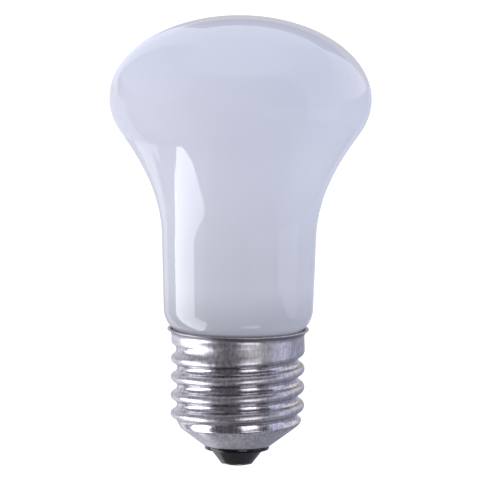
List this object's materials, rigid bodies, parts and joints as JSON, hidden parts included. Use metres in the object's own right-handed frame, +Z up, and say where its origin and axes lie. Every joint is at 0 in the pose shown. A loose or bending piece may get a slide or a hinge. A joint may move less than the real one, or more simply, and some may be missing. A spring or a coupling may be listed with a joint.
{
  "type": "halogen modelling lamp",
  "caption": "Opal mushroom-shaped modelling lamp on a 27 mm Edison screw cap, with a rolled thread, a black glass insulator and a soldered centre contact.",
  "frame": {"origin": "lowest point of the centre contact's solder, on the lamp's axis", "axes": "+Z up the lamp's axis, from the centre contact to the top of the dome; the side solder on the cap's rim faces +Y"},
  "size_m": [0.051, 0.051, 0.088],
  "materials": {
    "opal_glass": "gloss, opal white with a cool tint",
    "cap_metal": "pressed and rolled sheet, satin with soft highlights",
    "black_glass": "gloss, opaque black",
    "contact_plate": "stamped, dull",
    "solder": "tin solder, satin",
    "cement": "baked cement, matt",
    "lead_wire": "drawn nickel wire, satin"
  },
  "bodies": {
    "root": {"glass_bulb": "opal_glass", "screw_shell": "cap_metal", "cap_insulator": "black_glass", "centre_contact": "contact_plate", "contact_solder": "solder", "rim_solder": "solder", "basing_cement": "cement", "centre_lead": "lead_wire", "shell_lead": "lead_wire"}
  },
  "joints": []
}
